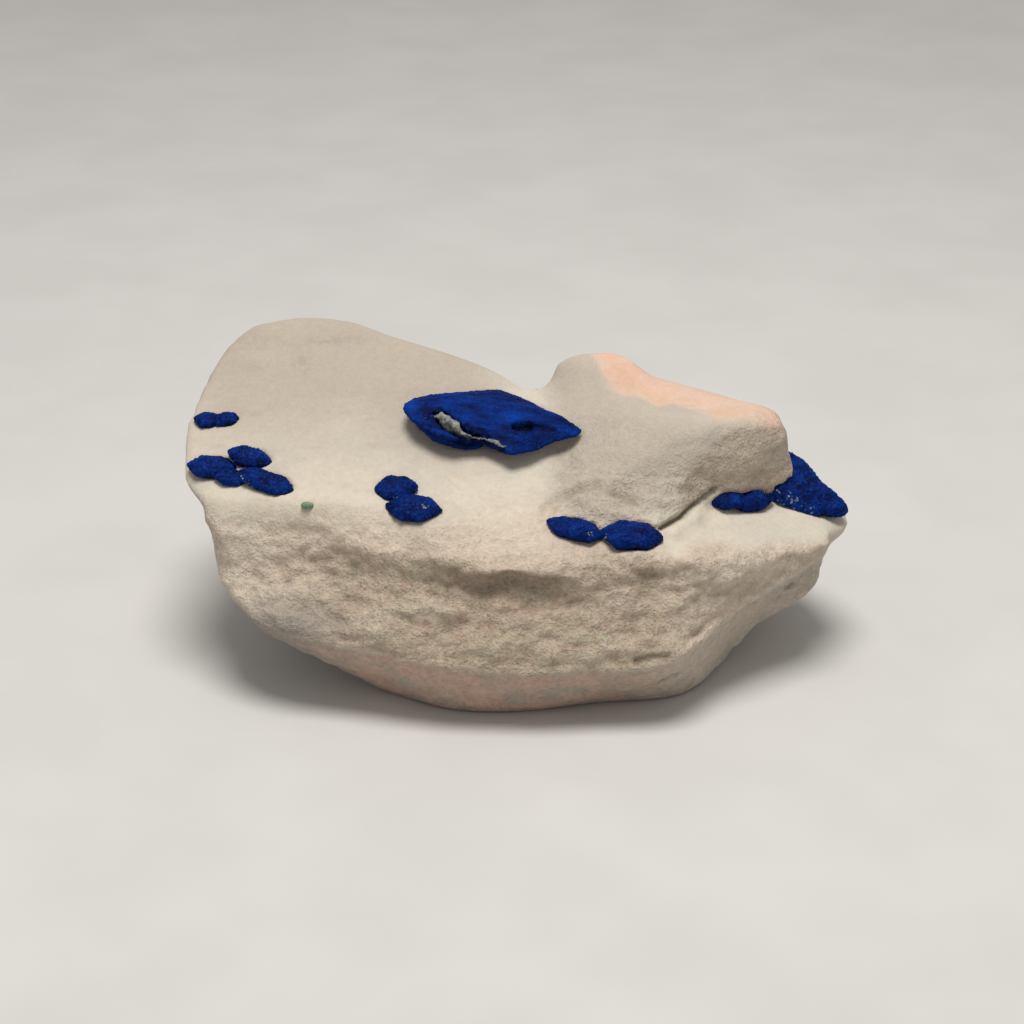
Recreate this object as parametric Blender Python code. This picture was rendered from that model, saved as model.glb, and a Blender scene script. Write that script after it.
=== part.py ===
"""Azurite discs ("suns") grown in a block of pale claystone.

Blender 4.5, metres, +Z up. Run with: blender --background --python part.py
+X is to the right and -Y is the broken front. The block stands on a flat patch of its underside.
Lengths below are in millimetres, and MM turns them into metres.
"""

import math
import random

import bmesh
import bpy
from mathutils import Matrix, Vector, noise
from mathutils.bvhtree import BVHTree

MM = 0.001

# ---- driving dimensions ------------------------------------------------------------------------
STATIONS = 44  # cross-sections of the block's skin, left to right
VOXEL = 1.4  # the block is remeshed at this size before its surface is worked
SMOOTH_TURNS = 3  # how far the skinned edges are rounded
SOFT_TURNS = 40  # how far the soft hollows are rounded
SOFT_PULL = 0.5  # how far each turn draws a point in the middle of a soft hollow
BASE_Z = 0.8  # the underside is cut flat at this height
BELOW_BASE = [(-90, 90), (-60, 60), (-20, BASE_Z)]  # what is cut away under the block
CLAY_TRIANGLES = 4050
SOCKET_GAP = 0.35  # clearance between a disc and the socket that it grew in

# Relief of the block's surface, as the width and the height of each size of swell.
WORN = [(19, 0.7), (8, 0.2)]
CRUMBLED = [(9, 0.9), (4.2, 0.6)]
BROKEN = [(24, 4.0), (8, 0.6)]
BED_SIZE = (26, 26, 9)  # a broken bed at the back: its two widths and its thickness
BED_STEPS = 7
BED_RISE = 1.1
BED_EDGE = 0.6  # how soft the edges of the beds are
BASE_EASE = (1, 6)  # the relief eases in between these heights, so that the base stays flat

# Where the broken front is rough: from this far before the middle, from just over the lip down to
# the rim. Where the foot of the upper bed is rough: its range in x, in z and before the middle.
FRONT_EASE = (14, 24)
OVER_LIP = (7, 2)
OVER_RIM = (-1, 3)
FOOT_LEFT = (6, 14)
FOOT_RIGHT = (70, 60)
FOOT_LOW = (38, 41)
FOOT_HIGH = (52, 47)
FOOT_DEPTH = (0, 8)

# The hidden back begins behind the crest, and behind this line on the right.
BACK_RIGHT = (6, 22)
BACK_EASE = (5, 13)
ENDS = (-64, 66)  # lines are read between these ends

# ---- the claystone block -----------------------------------------------------------------------
# The block is skinned over these lines. Each runs from the left end to the right end as points
# (x, y, z), and they follow one another round the section: up the front, over the top, down the back.
BASE_FRONT = [
    (-66, -12, 21), (-57, -27, 15), (-42, -30, 7), (-27, -31.5, 0), (-14, -38.5, 0), (1, -39, 0),
    (18, -35, 0), (37, -31.5, 0), (47, -18, 2), (54, -18.5, 10.5), (61, -18.5, 15.5), (65.5, -18, 18.5),
    (67.6, -13, 20),
]
RIM = [
    (-68, -14, 29), (-63, -31, 24), (-51, -39.5, 20), (-38, -42.5, 18), (-25, -45.5, 17), (-14, -47.5, 15),
    (5, -48.5, 14.5), (20, -47.5, 15), (32, -46, 16), (42, -37, 19), (50, -29.5, 22), (59, -24, 25),
    (65.5, -18, 27), (68.2, -12.5, 24.5),
]
FACE = [
    (-67, -13, 35.5), (-64, -25, 31), (-48, -31, 29), (-32, -35, 30), (-16, -38.5, 31), (0, -39.5, 30),
    (13, -40, 30), (20, -39, 30), (33, -38, 29), (50, -28, 27.5), (66, -18.8, 29), (68.8, -11.5, 27.5),
]
LIP = [
    (-73, -11, 41.2), (-70, -18.5, 39.4), (-64.5, -24, 36.8), (-47, -27, 36), (-32, -33, 37),
    (-16, -39.5, 37.5), (0, -41.5, 36), (13, -40.5, 36), (20, -37, 37), (26, -37, 38), (39, -35.5, 36),
    (52, -27, 33), (66, -20.5, 31), (70.3, -11, 30.5),
]
SHELF = [
    (-75, -8, 46), (-71.5, -18, 43.6), (-52, -24, 44), (-38, -27, 45), (-17, -30, 43), (0, -29, 41),
    (16, -29, 40), (28, -31, 39), (45, -20, 37), (62, -12, 34.5), (72, -6, 32),
]
SLOPE = [
    (-75, 0, 50), (-62, 2, 53), (-48, 2, 54.5), (-32, -1, 54), (-17, -6, 51.5), (0, -10, 49),
    (16, -10, 44), (28, -8, 39), (45, -5, 37), (60, -3, 35), (72.5, -1, 32.5),
]
CREST = [
    (-73.5, 6, 54), (-70.5, 17, 57.5), (-67, 26.5, 61), (-60, 29.5, 64.5), (-48, 29.5, 66.5),
    (-39, 26.5, 66.5), (-31, 22.5, 65.5), (-14, 18, 61.3), (4, 13, 55.2), (20, 12, 48), (38, 10, 38),
    (60, 5, 34), (72.5, 4, 31.5),
]
BACK_SHOULDER = [
    (-71, 15, 46), (-66, 35, 52), (-48, 41, 56), (-31, 37, 55), (-14, 32, 51), (4, 27, 46),
    (22, 27, 42), (40, 25, 36), (60, 17, 31), (72, 7, 28),
]
BACK_MID = [
    (-69, 15, 36), (-60, 41, 35), (-45, 48, 37), (-20, 46, 34), (0, 42, 31), (20, 42, 28),
    (42, 37, 26), (60, 26, 24), (71.5, 8, 23),
]
BACK_RIM = [
    (-65, 10, 26), (-55, 38, 20), (-40, 46, 18), (-15, 48, 16), (5, 45, 14), (25, 45, 14),
    (45, 38, 16), (60, 25, 18), (70, 6, 20),
]
BASE_BACK = [
    (-61, 4, 21), (-46, 26, 8), (-30, 34, 0), (-10, 38, 0), (10, 39, 0), (28, 37, 0), (42, 30, 0),
    (54, 18, 6), (67, 3, 17),
]
SKIN = [
    BASE_FRONT, RIM, FACE, LIP, SHELF, SLOPE, CREST, BACK_SHOULDER, BACK_MID, BACK_RIM, BASE_BACK,
]

# Chunks that stand on the skin, each the hull of its corners: the upper bed on the right with its
# foot and its knob, the lobe at the right end, the clay that carries the right disc, and the saddle
# between the upper bed and the hill on the left.
UPPER_BED = [
    (15, 3, 58), (26, -6, 58), (41, -12.5, 57.8), (59.3, -6.3, 54.8), (58.5, -1.5, 55.5), (30, 10, 59),
    (62.5, -5.5, 38), (46, -10, 36), (34, -21, 42), (12, -22, 43), (12, -12, 48),
    (14, 30, 53), (42, 28, 49), (58, 20, 45), (15, 39, 22), (54, 33, 22), (63, 13, 28),
]
FOOT = [
    (29, -34, 38), (9, -30, 40.5), (17, -24, 45.5), (31, -23, 45), (41, -15.5, 43), (46, -10, 36.5),
    (9, -14, 46.5), (8, -20, 36), (26, 0, 50), (24, -20, 34),
]
KNOB = [
    (6.5, 8, 57.5), (7.5, 13, 61.5), (13, 12, 64.2), (22.5, 12, 64.1), (27, 10, 62.2), (30.5, 5, 59.0),
    (20, 27, 56.5), (30, 22, 53), (9, 25, 55), (14, 0, 56), (25, -1, 56), (13, 30, 42), (28, 28, 42),
]
END_LOBE = [
    (64, -11, 31), (73.5, -10, 31.5), (75.2, -5, 32), (73, 1, 30), (69, -11, 27), (73.5, -7, 27.5),
    (64, -4, 24), (70, 2, 26), (62, 4, 32),
]
CRADLE = [
    (55, -6, 34), (68, -5, 33), (55, 0, 39), (66, 1, 37), (55, 14, 41), (64, 12, 38), (69, 10, 29),
    (55, 2, 30),
]
SADDLE = [
    (-3, 12, 55.2), (10, 10, 54.5), (-3, 3, 53.2), (10, 0, 54.1), (17, 5, 57.2), (17, -3, 56.2),
    (-4, 24, 50), (12, 26, 52), (0, 22, 42), (12, 26, 42), (6, -8, 49), (0, 4, 46),
]
CHUNKS = {
    "upper_bed": UPPER_BED,
    "foot": FOOT,
    "knob": KNOB,
    "end_lobe": END_LOBE,
    "cradle": CRADLE,
    "saddle": SADDLE,
}

# Fracture planes that trim the back and the ends: a point and the outward normal of each.
FRACTURES = [
    ((-44, 46, 30), (-0.35, 1.0, 0.25)),
    ((30, 42, 30), (0.5, 1.0, 0.1)),
    ((-6, 46, 22), (0.1, 1.0, -0.35)),
    ((66, 12, 24), (1.0, 0.75, -0.15)),
    ((50, 24, 50), (0.55, 0.8, 0.75)),
    ((-62, 8, 24), (-0.8, 0.5, -0.7)),
]

# Soft hollows, where one form runs into the next: centre and radius.
SOFT = [
    ((6, 8, 53), 10),
    ((13, 3, 56), 8),
    ((5, -6, 50), 12),
    ((5, -18, 45), 11),
    ((8, -28, 42), 8),
]

# ---- the azurite -------------------------------------------------------------------------------
# A sun is one or more lobes grown together. Each lobe is a lens: centre, half length, half depth,
# half thickness, then roll (right end down), pitch (back edge up) and yaw (right end back), in
# degrees. A centre is only near the surface: the sun is seated on the block along SEAT, square to
# the broken front.
SEAT = Vector((0.0, 0.899, -0.438))
SUNS = {
    "azurite_pair_upper_left": [
        ((-69.3, 2.5, 51.7), 3.2, 2.2, 1.4, 3, 10, 0),
        ((-65.2, 1.5, 52.4), 3.0, 2.0, 1.4, -4, 10, 0),
    ],
    "azurite_disc_left": [
        ((-58.8, -11.0, 48.8), 5.2, 3.2, 1.9, 9, 8, -18),
    ],
    "azurite_cluster_left": [
        ((-67.0, -12.7, 47.2), 5.6, 3.6, 2.0, 4, 8, -4),
        ((-62.4, -16.2, 46.2), 3.8, 2.3, 1.4, 5, 8, -4),
        ((-54.6, -17.8, 46.1), 7.2, 3.0, 1.8, 10, 8, -24),
    ],
    "azurite_pair_front": [
        ((-26.2, -22.8, 46.9), 4.8, 3.7, 2.0, 0, 14, 0),
        ((-22.4, -28.4, 44.8), 6.1, 4.0, 2.2, 3, 14, -3),
    ],
    "azurite_pair_ledge": [
        ((12.4, -30.5, 40.8), 6.7, 3.2, 1.9, 10, 8, -15),
        ((24.4, -31.3, 39.6), 7.0, 4.4, 2.5, 5, 8, -2),
    ],
    "azurite_disc_crevice": [
        ((46.5, -14.1, 39.6), 4.3, 2.1, 1.7, 3, 0, 22),
        ((51.7, -10.8, 37.9), 5.5, 2.6, 2.1, 4, 0, 22),
    ],
}
SEAT_REACH = 30  # the surface is looked for from this far above the centre
PROUD = 0.4  # how far the middle of a lobe stands out of the clay
LOBE_SPOKES = 12
LOBE_RINGS = [0.5, 0.82, 1.0]
BLADE = 0.09  # how far every second spoke draws in, as a share of the radius

# A large lens is its rim in order, its centre, its upward direction, its half thickness and the
# number of spokes. The large sun has a second lobe grown under its left front edge.
SUN_RIM = [
    (-25, -5, 57), (-23.5, -7.5, 56.5), (-21.5, -10, 56), (-18.5, -12, 55), (-15.5, -13.5, 54.5),
    (-12, -13.5, 54), (-8.5, -13, 53.5), (-5.5, -13.5, 52.5), (-3, -14.5, 52), (-1, -15, 51.5),
    (1, -14, 51.5), (4, -12, 51), (6, -10.2, 51.2), (8.6, -9.2, 51.9), (11.0, -8.4, 52.4),
    (13.0, -7.6, 52.8), (14.0, -6.8, 53.2), (12.4, -5.2, 54.0), (9.3, -2.5, 54.2), (6.3, 1.5, 53.9),
    (2.5, 5.5, 54.3), (-1.5, 8.5, 55),
    (-5, 9.5, 55.5), (-8.5, 8, 56), (-13, 5.5, 56.5), (-19.5, 3, 57), (-23.5, 0.5, 57.5),
    (-25, -2.5, 57.4),
]
LARGE_SUN = (SUN_RIM, (-5.0, -1.7, 54.1), (0.17, -0.13, 0.977), 3.5, 40)
LENS_RINGS = [0.3, 0.6, 0.84, 1.0]
LENS_PROFILE = 0.7  # 0.5 gives a lens a round edge, 1.0 a sharp one
STRIA = 0.2  # depth of the grooves that run along a large lens, as a share of its thickness
GROOVE_LENGTH = 9
GROOVE_WIDTH = 2.2
UNDER_LOBE = ((-15.4, -8.1, 53.6), 8.1, 4.2, 2.4, 20, 6, -9)

# A dark crack runs up between the ledge and the foot of the upper bed: a wedge, by its corners.
CRACK = [
    (34.5, -29.8, 41.3), (34.5, -29.8, 40.2), (30.0, -26.2, 40.2),
    (47.0, -14.9, 42.7), (47.0, -14.9, 41.2), (43.0, -11.6, 41.2),
]

# The large sun is split along its front: the upper and lower edge of the split, left to right, and
# the way it runs back into the clay. A tongue of clay stands in it.
SPLIT_TOP = [
    (-18.6, -7, 57.7), (-15.9, -9, 58.7), (-13.7, -10, 57.6), (-12.2, -11, 55.9), (-10.2, -12, 54.9),
    (-8.3, -12, 54.3),
]
SPLIT_FOOT = [
    (-18.7, -7, 56.3), (-17.2, -9, 55.4), (-15.3, -10, 54.3), (-13.3, -11, 53.3), (-10.2, -12, 53.2),
    (-8.3, -12, 53.3),
]
SPLIT_WAY = SEAT
SPLIT_STATIONS = 8
SPLIT_FRONT = -8  # the cut starts this far before its lines, and ends this far behind them
SPLIT_BACK = 14
TONGUE_FRONT = -0.8  # the clay in it starts here

# The disc at the right end stands out of the upper bed, its back edge lifted.
RIGHT_RIM = [
    (52.0, -6.2, 38.5), (57.6, -8.1, 36.7), (62.7, -9.3, 35.0), (66.6, -9.9, 34.0), (71.4, -9.9, 33.6),
    (73.3, -9.2, 34.0), (73.6, -8.0, 35.1), (70.9, -5.4, 37.2), (68.2, -3.7, 38.7), (66.4, -1.2, 40.6),
    (63.4, 1.6, 42.8), (58.0, 3.4, 44.8), (51.0, 3.0, 45.2), (48.0, -1.5, 42.3),
]
RIGHT_DISC = (RIGHT_RIM, (61.0, -3.4, 39.7), (0.08, -0.57, 0.82), 2.7, 26)

MALACHITE = ((-45.3, -25.8, 44.2), (1.45, 0.8, 0.8))

CLAY_COLOUR = (0.60, 0.53, 0.44)
AZURITE_COLOUR = (0.01, 0.03, 0.22)
MALACHITE_COLOUR = (0.10, 0.30, 0.14)


def remove_scene_objects():
    for obj in list(bpy.data.objects):
        bpy.data.objects.remove(obj, do_unlink=True)


def spline(points, share):
    """The point at this share, 0 to 1, of a Catmull-Rom curve through points."""
    place = share * (len(points) - 1)
    i = min(int(place), len(points) - 2)
    t = place - i
    a = Vector(points[max(i - 1, 0)])
    b = Vector(points[i])
    c = Vector(points[i + 1])
    d = Vector(points[min(i + 2, len(points) - 1)])
    square = a * 2 - b * 5 + c * 4 - d
    cube = b * 3 - a - c * 3 + d
    return (b * 2 + (c - a) * t + square * t**2 + cube * t**3) / 2


def at_x(points, x):
    """The point of a line where it crosses x. Lines run left to right."""
    low, high = 0.0, 1.0
    for _ in range(30):
        middle = (low + high) / 2
        if spline(points, middle).x < x:
            low = middle
        else:
            high = middle
    return spline(points, (low + high) / 2)


def mesh_object(name, bm):
    mesh = bpy.data.meshes.new(name)
    bmesh.ops.recalc_face_normals(bm, faces=bm.faces)
    bm.to_mesh(mesh)
    bm.free()
    obj = bpy.data.objects.new(name, mesh)
    bpy.context.scene.collection.objects.link(obj)
    return obj


def hull_object(name, corners):
    bm = bmesh.new()
    for corner in corners:
        bm.verts.new(Vector(corner) * MM)
    made = bmesh.ops.convex_hull(bm, input=bm.verts)
    inside = [g for g in made["geom_interior"] if isinstance(g, bmesh.types.BMVert)]
    bmesh.ops.delete(bm, geom=inside, context="VERTS")
    return mesh_object(name, bm)


def skin_object(name, lines, stations):
    """A closed skin over lines, each sampled at the same shares of its own length."""
    bm = bmesh.new()
    sections = []
    for i in range(stations + 1):
        share = 0.5 - 0.5 * math.cos(math.pi * i / stations)
        ring = []
        for line in lines:
            x = line[0][0] + (line[-1][0] - line[0][0]) * share
            ring.append(bm.verts.new(at_x(line, x) * MM))
        sections.append(ring)
    for left, right in zip(sections, sections[1:]):
        for k in range(len(lines)):
            n = (k + 1) % len(lines)
            bm.faces.new((left[k], left[n], right[n], right[k]))
    bm.faces.new(sections[0])
    bm.faces.new(reversed(sections[-1]))
    bmesh.ops.triangulate(bm, faces=bm.faces)
    return mesh_object(name, bm)


def apply_modifiers(obj):
    graph = bpy.context.evaluated_depsgraph_get()
    mesh = bpy.data.meshes.new_from_object(obj.evaluated_get(graph))
    obj.modifiers.clear()
    obj.data = mesh


def boolean(obj, other, operation):
    modifier = obj.modifiers.new(operation.lower(), "BOOLEAN")
    modifier.object = other
    modifier.operation = operation
    modifier.solver = "EXACT"
    apply_modifiers(obj)
    bpy.data.objects.remove(other, do_unlink=True)


def cut_plane(obj, point, normal):
    """Takes away what lies beyond the plane, and closes the cut."""
    bm = bmesh.new()
    bm.from_mesh(obj.data)
    parts = bm.verts[:] + bm.edges[:] + bm.faces[:]
    cut = bmesh.ops.bisect_plane(
        bm, geom=parts, plane_co=Vector(point) * MM, plane_no=Vector(normal).normalized(), clear_outer=True
    )
    rim = [g for g in cut["geom_cut"] if isinstance(g, bmesh.types.BMEdge)]
    bmesh.ops.contextual_create(bm, geom=rim)
    bmesh.ops.triangulate(bm, faces=bm.faces)
    bm.to_mesh(obj.data)
    bm.free()


def ellipsoid_object(name, centre, sizes, roll):
    bm = bmesh.new()
    bmesh.ops.create_icosphere(bm, subdivisions=2, radius=1.0)
    place = Matrix.Translation(Vector(centre) * MM) @ Matrix.Rotation(math.radians(roll), 4, "Y")
    bm.transform(place @ Matrix.Diagonal((*(size * MM for size in sizes), 1.0)))
    return mesh_object(name, bm)


def shape_block():
    """The whole block before its surface is worked."""
    block = skin_object("claystone", SKIN, STATIONS)
    for name, corners in CHUNKS.items():
        boolean(block, hull_object(name, corners), "UNION")
    for point, normal in FRACTURES:
        cut_plane(block, point, normal)
    remesh = block.modifiers.new("remesh", "REMESH")
    remesh.mode = "VOXEL"
    remesh.voxel_size = VOXEL * MM
    smooth = block.modifiers.new("smooth", "SMOOTH")
    smooth.iterations = SMOOTH_TURNS
    smooth.factor = 0.5
    apply_modifiers(block)
    return block


def fade(value, low, high):
    """0 below low, 1 above high, eased in between."""
    share = min(max((value - low) / (high - low), 0.0), 1.0)
    return share * share * (3 - 2 * share)


def soften_hollows(block):
    """Rounds the hollows in SOFT only, easing off towards the edge of each."""
    bm = bmesh.new()
    bm.from_mesh(block.data)
    soft = {}
    for vert in bm.verts:
        share = max(1 - (vert.co / MM - Vector(centre)).length / radius for centre, radius in SOFT)
        if share > 0:
            soft[vert] = fade(share, 0.0, 0.5) * SOFT_PULL
    for _ in range(SOFT_TURNS):
        moved = {}
        for vert, share in soft.items():
            ring = [edge.other_vert(vert).co for edge in vert.link_edges]
            moved[vert] = vert.co.lerp(sum(ring, Vector()) / len(ring), share)
        for vert, place in moved.items():
            vert.co = place
    bm.to_mesh(block.data)
    bm.free()


def held_at(line, x):
    """The point of a line at x, held between the ends of the block."""
    return at_x(line, min(max(x, ENDS[0]), ENDS[1]))


def behind(p):
    """1 on the hidden back of the block, beyond its crest, and 0 in front of it."""
    right, crest = BACK_RIGHT
    if p.x <= right:
        crest = held_at(CREST, p.x).y
    return fade(p.y - crest, *BACK_EASE)


def rough_share(p):
    """1 on the broken front and under the upper bed, 0 on worn faces."""
    over_lip = p.z - held_at(LIP, p.x).z
    over_rim = p.z - held_at(RIM, p.x).z
    front = fade(-p.y, *FRONT_EASE) * fade(over_lip, *OVER_LIP) * fade(over_rim, *OVER_RIM)
    foot = fade(p.x, *FOOT_LEFT) * fade(p.x, *FOOT_RIGHT)
    foot *= fade(p.z, *FOOT_LOW) * fade(p.z, *FOOT_HIGH) * fade(-p.y, *FOOT_DEPTH)
    return max(front, foot)


def swells(p, sizes):
    return sum(noise.noise(p / width + Vector((width, 0, 0))) * height for width, height in sizes)


def relief(p):
    """How far the surface stands out at p, in millimetres."""
    rough = rough_share(p)
    hidden = behind(p)
    front = swells(p, WORN) * (1 - rough) + swells(p, CRUMBLED) * rough
    bed = noise.noise(Vector(p[k] / BED_SIZE[k] for k in range(3)))
    ledge = math.sin(bed * BED_STEPS)
    broken = swells(p, BROKEN) + (2 * fade(ledge, -BED_EDGE, BED_EDGE) - 1) * BED_RISE
    return (front * (1 - hidden) + broken * hidden) * fade(p.z, *BASE_EASE)


def work_surface(block):
    mesh = block.data
    normals = [vert.normal.copy() for vert in mesh.vertices]
    for vert, normal in zip(mesh.vertices, normals):
        vert.co += normal * relief(vert.co / MM) * MM
    smooth = block.modifiers.new("smooth", "SMOOTH")
    smooth.iterations = 1
    apply_modifiers(block)


def claystone_block():
    block = shape_block()
    soften_hollows(block)
    work_surface(block)
    decimate = block.modifiers.new("decimate", "DECIMATE")
    decimate.ratio = CLAY_TRIANGLES / (2 * len(block.data.polygons))
    apply_modifiers(block)
    boolean(block, hull_object("crack", CRACK), "DIFFERENCE")
    across, along, upright = BELOW_BASE
    flat = hull_object("flat", [(x, y, z) for x in across for y in along for z in upright])
    boolean(block, flat, "DIFFERENCE")
    return block


def lens_object(name, centre, rim, rings, thickness, surface):
    """A closed lens: rings of points between the centre and the rim, mirrored above and below.

    surface(spoke, ring) is the share of the thickness that stands there.
    """
    bm = bmesh.new()
    spokes = len(rim)
    edge = [bm.verts.new(point * MM) for point in rim]
    for side in (1, -1):
        peak = bm.verts.new((centre + thickness * side * surface(0, 0.0)) * MM)
        inner = None
        for ring in rings:
            if ring < 1.0:
                lift = thickness * side * (1 - ring * ring) ** LENS_PROFILE
                loop = [
                    bm.verts.new((centre.lerp(point, ring) + lift * surface(i, ring)) * MM)
                    for i, point in enumerate(rim)
                ]
            else:
                loop = edge
            for i in range(spokes):
                n = (i + 1) % spokes
                if inner is None:
                    bm.faces.new((peak, loop[i], loop[n]))
                else:
                    bm.faces.new((inner[i], loop[i], loop[n]))
                    bm.faces.new((inner[i], loop[n], inner[n]))
            inner = loop
    return mesh_object(name, bm)


def lobe_object(lobe, seed, grow):
    """One small lens of blades: every second spoke draws in, and no two are alike."""
    place, length, depth, thickness, roll, pitch, yaw = lobe
    dice = random.Random(seed)
    turn = Matrix.Rotation(math.radians(yaw), 3, "Z")
    turn @= Matrix.Rotation(math.radians(roll), 3, "Y")
    turn @= Matrix.Rotation(math.radians(pitch), 3, "X")
    centre = Vector(place)
    rim = []
    lifts = []
    for i in range(LOBE_SPOKES):
        angle = 2 * math.pi * (i + dice.uniform(-0.2, 0.2)) / LOBE_SPOKES
        reach = 1 + dice.uniform(-0.05, 0.05) - BLADE * (i % 2)
        across = (length + grow) * reach * math.cos(angle)
        along = (depth + grow) * reach * math.sin(angle)
        rim.append(centre + turn @ Vector((across, along, 0)))
        lifts.append(1 + dice.uniform(-0.1, 0.1) - BLADE * (i % 2))
    up = turn @ Vector((0, 0, thickness + grow))
    return lens_object("lobe", centre, rim, LOBE_RINGS, up, lambda i, ring: lifts[i] if ring else 1.0)


def rim_points(points, count):
    """Evenly spaced shares of a closed curve through points."""
    closed = points + points[:1]
    return [spline(closed, i / count) for i in range(count)]


def grooved_lens(lens, grow):
    """A large lens whose grooves run along its length."""
    rim, centre, up, thickness, spokes = lens
    middle = Vector(centre)
    edge = [point + (point - middle).normalized() * grow for point in rim_points(rim, spokes)]

    def surface(i, ring):
        p = middle.lerp(edge[i], ring)
        return 1 + noise.noise(Vector((p.x / GROOVE_LENGTH, p.y / GROOVE_WIDTH, 0))) * STRIA * ring

    rise = Vector(up).normalized() * (thickness + grow)
    return lens_object("lens", middle, edge, LENS_RINGS, rise, surface)


def split_body(front, inset):
    """The body of the split, from front millimetres before the sun's face, drawn in by inset."""
    drop = Vector((0, 0, inset))
    ends = Vector((inset, 0, 0))
    lines = []
    top = [(SPLIT_TOP, -1, front), (SPLIT_TOP, -1, SPLIT_BACK)]
    foot = [(SPLIT_FOOT, 1, SPLIT_BACK), (SPLIT_FOOT, 1, front)]
    for line, fall, reach in top + foot:
        points = [Vector(point) + drop * fall + SPLIT_WAY * reach for point in line]
        points[0] += ends
        points[-1] -= ends
        lines.append(points)
    return skin_object("split", lines, SPLIT_STATIONS)


def keep_largest(obj):
    """Drops the crumbs that cutting leaves loose."""
    bm = bmesh.new()
    bm.from_mesh(obj.data)
    loose = set(bm.verts)
    bodies = []
    while loose:
        body = {loose.pop()}
        edge = list(body)
        while edge:
            vert = edge.pop()
            near = {link.other_vert(vert) for link in vert.link_edges} & loose
            loose -= near
            body |= near
            edge.extend(near)
        bodies.append(body)
    largest = max(bodies, key=len)
    bmesh.ops.delete(bm, geom=[vert for vert in bm.verts if vert not in largest], context="VERTS")
    bm.to_mesh(obj.data)
    bm.free()


def seated(tree, place):
    """A little above the point of the surface that lies under place, along SEAT."""
    start = (Vector(place) - SEAT * SEAT_REACH) * MM
    return tree.ray_cast(start, SEAT)[0] / MM - SEAT * PROUD


def surface_tree(obj):
    bm = bmesh.new()
    bm.from_mesh(obj.data)
    tree = BVHTree.FromBMesh(bm)
    bm.free()
    return tree


def inset_bodies(tree, grow):
    """The bodies of every piece that is set in the clay, each standing out by grow all round."""
    bodies = {
        "azurite_sun_large": [grooved_lens(LARGE_SUN, grow), lobe_object(UNDER_LOBE, 40, grow)],
        "azurite_disc_right": [grooved_lens(RIGHT_DISC, grow)],
    }
    for k, (name, lobes) in enumerate(SUNS.items()):
        bodies[name] = [
            lobe_object((seated(tree, place), *sizes), 100 + 10 * k + j, grow)
            for j, (place, *sizes) in enumerate(lobes)
        ]
    place, sizes = MALACHITE
    speck = [size + grow for size in sizes]
    bodies["malachite_speck"] = [ellipsoid_object("speck", seated(tree, place) + SEAT * PROUD, speck, 0)]
    return bodies


def grown_together(name, bodies):
    first, *others = bodies
    for other in others:
        boolean(first, other, "UNION")
    first.name = name
    return first


def finish_material(name, colour, roughness):
    material = bpy.data.materials.new(name)
    material.use_nodes = True
    shader = material.node_tree.nodes["Principled BSDF"]
    shader.inputs["Base Color"].default_value = (*colour, 1.0)
    shader.inputs["Roughness"].default_value = roughness
    shader.inputs["Metallic"].default_value = 0.0
    return material


def stand_at_origin(objects):
    """Hangs every piece on one empty that brings the middle of the base to the origin."""
    corners = [vert.co for obj in objects for vert in obj.data.vertices]
    low = Vector([min(corner[k] for corner in corners) for k in range(3)])
    high = Vector([max(corner[k] for corner in corners) for k in range(3)])
    specimen = bpy.data.objects.new("azurite_specimen", None)
    bpy.context.scene.collection.objects.link(specimen)
    specimen.location = (-(low.x + high.x) / 2, -(low.y + high.y) / 2, -low.z)
    for obj in objects:
        obj.parent = specimen


def main():
    remove_scene_objects()
    clay = claystone_block()
    tree = surface_tree(clay)
    insets = [grown_together(name, bodies) for name, bodies in inset_bodies(tree, 0).items()]
    boolean(insets[0], split_body(SPLIT_FRONT, 0), "DIFFERENCE")
    keep_largest(insets[0])
    for cutters in inset_bodies(tree, SOCKET_GAP).values():
        for cutter in cutters:
            boolean(clay, cutter, "DIFFERENCE")
    keep_largest(clay)
    boolean(clay, split_body(TONGUE_FRONT, SOCKET_GAP), "UNION")
    clay.data.materials.append(finish_material("claystone", CLAY_COLOUR, 0.95))
    for inset in insets:
        colour = MALACHITE_COLOUR if inset.name == "malachite_speck" else AZURITE_COLOUR
        inset.data.materials.append(finish_material(inset.name, colour, 0.5))
    stand_at_origin([clay, *insets])


main()
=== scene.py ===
# %% [markdown]
# # Blue azurite suns in a block of pale claystone
# This script dresses a mineral specimen: discs of azurite that grew between the beds of a soft,
# pale claystone. The solid model gives every piece its place and its main shape. Here each piece
# is made again as a dense mesh, so that it can carry what solids can't: grain, crystal crust,
# stains and small scars. The first cell loads the solids as a fixed frame.

# %% Load the solids
import math

import bmesh
import bpy
import numpy as np
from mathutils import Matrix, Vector, noise
from mathutils.bvhtree import BVHTree


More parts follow.
